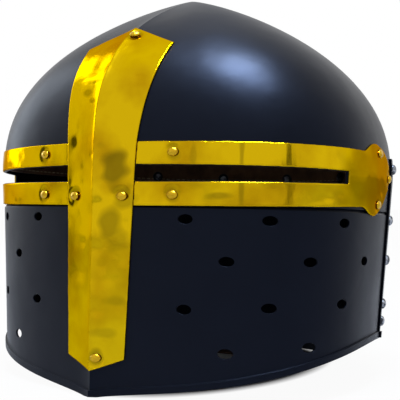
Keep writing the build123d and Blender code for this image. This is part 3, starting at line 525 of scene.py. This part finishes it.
def paint_reflections_and_rings(piece, points, luck):
    """Marks painted dark reflections and painted shade at the listed places, and a darker ring round
    each rivet.
    """
    wobble = np.ones(len(points))
    for _ in range(6):
        heading = Vector([luck.gauss(0, 1) for _ in range(3)]).normalized()
        length = luck.uniform(7, 20) * MM
        wobble += 0.08 * np.sin(points @ np.array(heading) * 2 * pi / length)
    painted_reflections_and_rivet_rings = np.zeros(len(points))
    for across, level, wide, tall, strength in painted_reflections_and_shade:
        apart = wobble * np.hypot((points[:, 0] / MM - across) / wide,
                                  (points[:, 2] / MM - level) / tall)
        painted_reflections_and_rivet_rings = np.maximum(painted_reflections_and_rivet_rings, strength * np.clip((1.3 - apart) / 0.7, 0, 1))
    for rivet in brass_rivets:
        apart = np.linalg.norm(points - np.array(rivet), axis=1) / (5.2 * MM) * wobble
        painted_reflections_and_rivet_rings = np.maximum(painted_reflections_and_rivet_rings, 0.6 * np.clip((1.2 - apart) / 0.6, 0, 1))
    mark = piece.data.attributes.new("painted_reflections_and_rivet_rings", "FLOAT", "POINT")
    mark.data.foreach_set("value", painted_reflections_and_rivet_rings)


print(len(painted_reflections_and_shade), "patches of painted reflection and shade")

# %% [markdown]
# No blow drives the sheet more than 0.55 mm in, since steel lies behind it, and the waves
# lift it 0.25 mm at most.

# %% Hammered sheet
deepest_mm, highest_mm = 0.55, 0.25
dimple_depth_mm, dimple_radius_mm = 0.22, 5.5


def hammer(piece, seed, dents, wave_mm, depth_mm):
    points = points_of(piece.data)
    luck = random.Random(seed)
    push = np.zeros(len(points))
    for _ in range(14):
        length = luck.uniform(18, 55) * MM
        heading = Vector([luck.gauss(0, 1) for _ in range(3)]).normalized()
        phase = luck.uniform(0, 2 * pi)
        push += wave_mm / 5 * MM * np.sin(points @ np.array(heading) * 2 * pi / length + phase)
    for _ in range(dents):
        middle = points[luck.randrange(len(points))]
        radius = luck.uniform(2.2, 6.5) * MM
        depth = luck.uniform(0.3, 1.0) * depth_mm * MM
        apart = np.linalg.norm(points - middle, axis=1)
        push -= depth * np.exp(-((apart / radius) ** 2))
    for rivet in brass_rivets:
        away = points - np.array(rivet)
        apart = np.linalg.norm(away, axis=1)
        push -= dimple_depth_mm * MM * np.exp(-((apart / (dimple_radius_mm * MM)) ** 4))
    push = np.clip(push, -deepest_mm * MM, highest_mm * MM)
    paint_reflections_and_rings(piece, points, luck)
    move_points(piece.data, points + outward(points) * push[:, None])
    low, high = (round(float(reach / MM), 2) for reach in (push.min(), push.max()))
    print(piece.name, "moved by", low, "to", high, "mm")


hammered_bar = remade("nasal_bar", "hammered_bar", 0.4, 4)
hammer(hammered_bar, 11, 34, 0.16, 0.3)
stands_for(hammered_bar, "nasal_bar", "shell", sheet_brass)
for side, seed in (("right", 5), ("left", 8)):
    arm = remade("cross_arm_" + side, "hammered_arm_" + side, 0.38, 3)
    hammer(arm, seed, 24, 0.12, 0.22)
    stands_for(arm, "cross_arm_" + side, "shell", sheet_brass)

# %% [markdown]
# ## Leather
# The liner is a band riveted round the inside of the brow, with eight tongues sewn to it
# that a lace draws together over the head. The tongues sag and ripple a little, most where
# they hang free between the band and the lace.

# %% Liner band and tongues
lean = radians(2.65)
up = Vector((0, sin(lean), cos(lean)))
back = Vector((0, cos(lean), -sin(lean)))
foot = Vector((0, -31.05, -5.0)) * MM
crown_back = 18  # the lace's middle lies this far behind the crown axis, in mm


def helm_point(x_mm, y_mm, level_mm):
    """A point measured from the crown axis and the chin, in the standing helm."""
    return foot + Vector((x_mm * MM, 0, 0)) + back * (y_mm * MM) + up * (level_mm * MM)


def ripple(piece, seed, depth_mm, low_mm, high_mm):
    """Soft waves that grow from one level to another."""
    points = points_of(piece.data)
    levels = (points - np.array(foot)) @ np.array(up) / MM
    grow = np.clip((levels - low_mm) / (high_mm - low_mm), 0, 1)
    luck = random.Random(seed)
    push = np.zeros(len(points))
    for _ in range(10):
        length = luck.uniform(22, 60) * MM
        heading = Vector([luck.gauss(0, 1) for _ in range(3)]).normalized()
        phase = luck.uniform(0, 2 * pi)
        push += depth_mm / 3 * MM * np.sin(points @ np.array(heading) * 2 * pi / length + phase)
    move_points(piece.data, points + outward(points) * (push * grow)[:, None])
    print(piece.name, "ripples above", low_mm, "mm")


liner_band = remade("liner_band", "riveted_liner_band", 0.8, 3)
stands_for(liner_band, "liner_band", "shell", liner_hide)
liner_tongues = remade("liner_tongues", "laced_liner_tongues", 0.8, 3)
ripple(liner_tongues, 3, 0.9, 174, 190)
stands_for(liner_tongues, "liner_tongues", "shell", liner_hide)

# %% [markdown]
# Everything here is saddle-stitched by hand with waxed linen, 4 to 5 mm a stitch, the thread
# 0.8 mm thick. Each stitch is a short thread that rises out of one hole and dives into the
# next. A row is found by casting rays at the leather, so the stitches lie on its real face.

# %% Waxed linen thread
waxed_linen, tree = new_material("waxed_linen_thread")
place = add_node(tree, "ShaderNodeTexCoord").outputs["Object"]
twist = add_node(tree, "ShaderNodeTexWave", {"Vector": place}, {"Scale": per(3.0), "Distortion": 1.5},
                 bands_direction="DIAGONAL")
tone = blend(tree, twist.outputs["Fac"], "#9C8A66", "#D8CAA6")
ply = bump(tree, twist.outputs["Fac"], 0.1)
linen = add_node(tree, "ShaderNodeBsdfPrincipled", {"Base Color": tone, "Normal": ply},
                 {"Roughness": 0.7, "Specular IOR Level": 0.3})
add_node(tree, "ShaderNodeOutputMaterial", {"Surface": linen.outputs[0]})
print("finish:", waxed_linen.name)


# %% One stitch
steps, corners = 6, 6  # along a stitch, and round its thread


def add_stitch(grid, start, end, out, radius):
    """A thread that rises from one hole and dives into the next."""
    along = (end - start).normalized()
    across = along.cross(out).normalized()
    rings = []
    for i in range(steps + 1):
        share = i / steps
        height = radius * (2.2 * sin(pi * share) - 1.0)
        middle = start.lerp(end, share) + out * height
        thick = radius * (0.75 + 0.25 * sin(pi * share))
        ring = [grid.verts.new(middle + (across * cos(turn) + out * sin(turn)) * thick)
                for turn in (2 * pi * k / corners for k in range(corners))]
        rings.append(ring)
    for low, high in zip(rings, rings[1:]):
        for k in range(corners):
            after = (k + 1) % corners
            grid.faces.new((low[k], low[after], high[after], high[k]))
    grid.faces.new(reversed(rings[0]))
    grid.faces.new(rings[-1])


print("a stitch has", steps + 1, "rings")

# %% A row of stitches
def sew(name, rows, body, pitch_mm=4.6, gap_mm=1.1, radius_mm=0.4):
    """One object with a stitch for each pair of neighbours in the rows of (point, normal)."""
    grid = bmesh.new()
    count = 0
    for row in rows:
        for (here, out), (there, _) in zip(row, row[1:]):
            step = there - here
            if step.length > 1.6 * pitch_mm * MM:
                continue
            trim = step.normalized() * (gap_mm / 2 * MM)
            add_stitch(grid, here + trim, there - trim, out, radius_mm * MM)
            count += 1
    mesh = bpy.data.meshes.new(name)
    grid.to_mesh(mesh)
    grid.free()
    for face in mesh.polygons:
        face.use_smooth = True
    piece = bpy.data.objects.new(name, mesh)
    bpy.context.scene.collection.objects.link(piece)
    mesh.materials.append(waxed_linen)
    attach(piece, body)
    print(name, "has", count, "stitches")


def tree_of(piece):
    return BVHTree.FromObject(piece, bpy.context.evaluated_depsgraph_get())


print("ready to sew")

# %% Stitching the liner
lap_level, low_level = 168.0, 149.0  # of the two rows round the band
hem_radius = 35.5  # of the row round the tongues' turned tips, outside the lace
tongue_tree = tree_of(liner_tongues)
band_tree = tree_of(liner_band)
lap_row, low_row = [], []
turns = 190
for i in range(turns + 1):
    turn = 2 * pi * i / turns
    aim = Vector((sin(turn), 0, 0)) - back * cos(turn)
    hit = tongue_tree.ray_cast(helm_point(0, crown_back, lap_level), aim)
    if hit[0]:
        lap_row.append((hit[0], hit[1]))
    hit = band_tree.ray_cast(helm_point(0, crown_back, low_level), aim)
    if hit[0]:
        low_row.append((hit[0], hit[1]))
hem_rows = []
for tongue in range(8):
    row = []
    for step in range(7):
        turn = 2 * pi * (tongue + 0.5 + (step - 3) * 0.093) / 8
        start = helm_point(hem_radius * sin(turn), crown_back - hem_radius * cos(turn), 150)
        hit = tongue_tree.ray_cast(start, up)
        if hit[0]:
            row.append((hit[0], hit[1]))
    hem_rows.append(row)
sew("liner_stitches", [lap_row, low_row, *hem_rows], "shell")

# %% [markdown]
# The lace is a round waxed thong. It runs through the turned tips of the tongues and is
# tied in an overhand knot with two short ends. A curve with a round bevel is the natural
# way to make a thong, and the knot is the same curve bent through itself.

# %% Lace
def thong(name, points, radius_mm, closed):
    data = bpy.data.curves.new(name, "CURVE")
    data.dimensions = "3D"
    data.bevel_depth = radius_mm * MM
    data.bevel_resolution = 4
    data.use_fill_caps = True
    line = data.splines.new("NURBS")
    line.points.add(len(points) - 1)
    for target, point in zip(line.points, points):
        target.co = (*point, 1.0)
    line.order_u = 4
    line.use_cyclic_u = closed
    line.use_endpoint_u = not closed
    line.resolution_u = 6
    piece = bpy.data.objects.new(name, data)
    bpy.context.scene.collection.objects.link(piece)
    data.materials.append(thong_hide)
    return piece


ring_level, ring_radius, ring_points = 222.43, 27, 40
ring = []
for i in range(ring_points):
    turn = 2 * pi * i / ring_points
    ring.append(helm_point(ring_radius * sin(turn), crown_back - ring_radius * cos(turn), ring_level))
lace = thong("gathering_lace", ring, 1.55, True)
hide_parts("crown_lace")
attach(lace, "shell")
print("lace", round(2 * pi * ring_radius), "mm round")

# %% Its knot
knot_turn = radians(45)
knot_middle = helm_point(ring_radius * sin(knot_turn), crown_back + ring_radius * cos(knot_turn),
                         ring_level)
knot_out = Vector((sin(knot_turn), 0, 0)) + back * cos(knot_turn)
knot_side = up.cross(knot_out)
knot_size, knot_drop = 1.05 * MM, 0.6 * MM
parting, bend_count = 0.35, 27  # where the closed knot is cut open, and its points
bends = []
for i in range(bend_count):
    t = parting + (2 * pi - 2 * parting) * i / (bend_count - 1)
    bend = (knot_side * (sin(t) + 2 * sin(2 * t)) + knot_out * sin(3 * t)
            - up * (cos(t) - 2 * cos(2 * t)))
    bends.append(knot_middle - up * knot_drop + bend * knot_size)
first = [bends[0] - up * (k * 3.4 * MM) + knot_side * (k * 1.3 * MM) for k in (4, 3, 2, 1)]
last = [bends[-1] - up * (k * 3.1 * MM) - knot_side * (k * 1.5 * MM) for k in (1, 2, 3, 4)]
knot = thong("lace_knot", first + bends + last, 1.05, False)
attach(knot, "shell")
print("lace tied at", [round(c / MM) for c in knot_middle])

# %% [markdown]
# The chin strap is bridle leather, dyed through and waxed, with its edges rubbed round. The
# remesh gives it those edges. The fold at the buckle is held by two small brass rivets,
# which are CAD pieces and already have their finish.

# %% Chin strap pieces
strap_pieces = (
    ("long_strap", "punched_strap", "chin_strap"),
    ("buckle_strap", "folded_strap", "chin_strap"),
    ("strap_keeper", "strap_loop", "keeper"),
    ("strap_spacers", "leather_spacers", "shell"),
)
for node, name, body in strap_pieces:
    piece = remade(node, name, 0.45, 2)
    stands_for(piece, node, body, strap_hide)
print("strap pieces dressed")

# %% End of the build
print("the scene is built")
